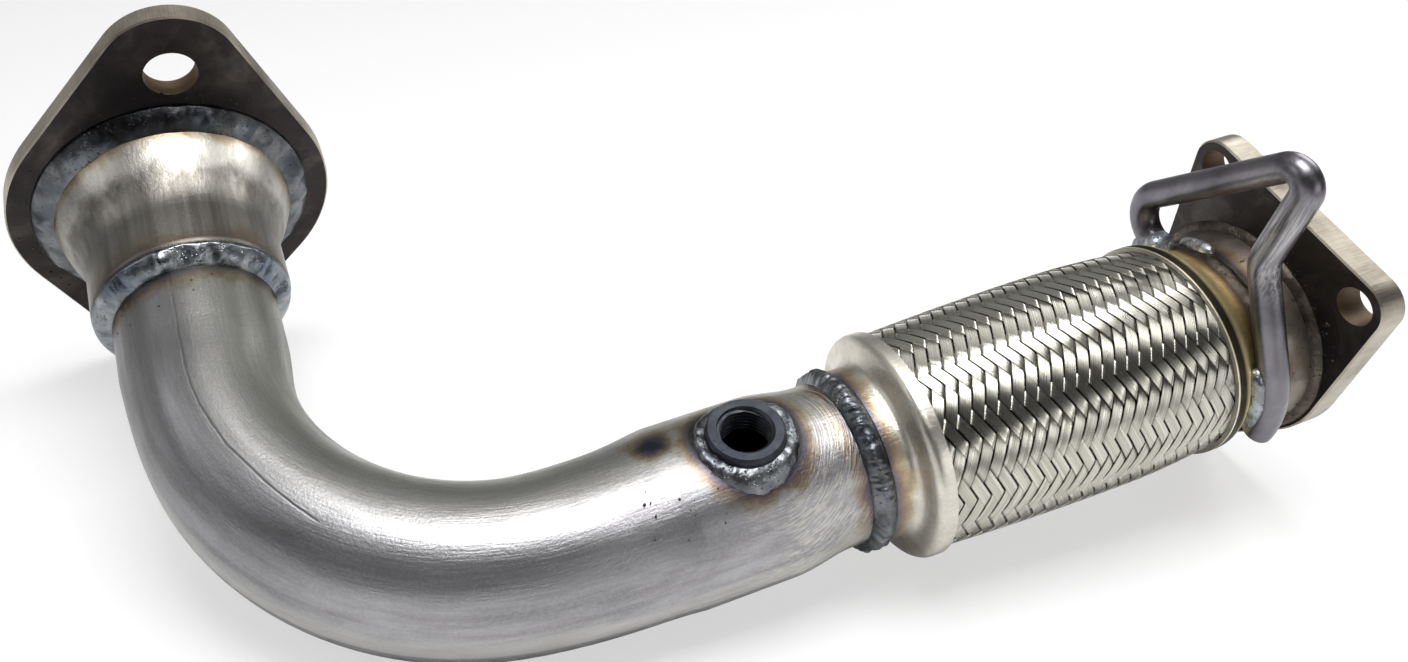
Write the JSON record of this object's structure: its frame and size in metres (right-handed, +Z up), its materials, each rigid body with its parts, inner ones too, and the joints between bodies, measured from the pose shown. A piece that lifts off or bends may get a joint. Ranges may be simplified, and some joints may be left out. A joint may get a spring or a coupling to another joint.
{
  "type": "exhaust pipe",
  "caption": "Bent steel exhaust front pipe with a flat flange at each end, a sensor boss, a braided flexible section and a rod hanger.",
  "frame": {"origin": "floor level under the middle of the outline, with the pipe lying at rest", "axes": "+X from the inlet side to the outlet flange, +Y to the inlet flange, +Z up"},
  "size_m": [0.4386, 0.273, 0.1723],
  "materials": {
    "plate": "satin",
    "bell": "satin",
    "bell_dark": "satin",
    "tube": "brushed",
    "boss": "satin",
    "collar": "satin",
    "braid": "brushed",
    "inner_steel": "satin",
    "rod": "satin",
    "weld": "matte"
  },
  "bodies": {
    "root": {"inlet_flange": "plate", "outlet_flange": "plate", "inlet_bell": "bell", "outlet_bell": "bell_dark", "front_tube": "tube", "sensor_boss": "boss", "flex_inlet_collar": "collar", "flex_outlet_collar": "collar", "flex_braid": "braid", "flex_bellows": "inner_steel", "flex_liner": "inner_steel", "hanger_rod": "rod", "inlet_flange_weld": "weld", "inlet_bell_weld": "weld", "sensor_boss_weld": "weld", "flex_inlet_weld": "weld", "outlet_neck_weld": "weld", "outlet_flange_weld": "weld", "hanger_upper_weld": "weld", "hanger_lower_weld": "weld"}
  },
  "joints": []
}
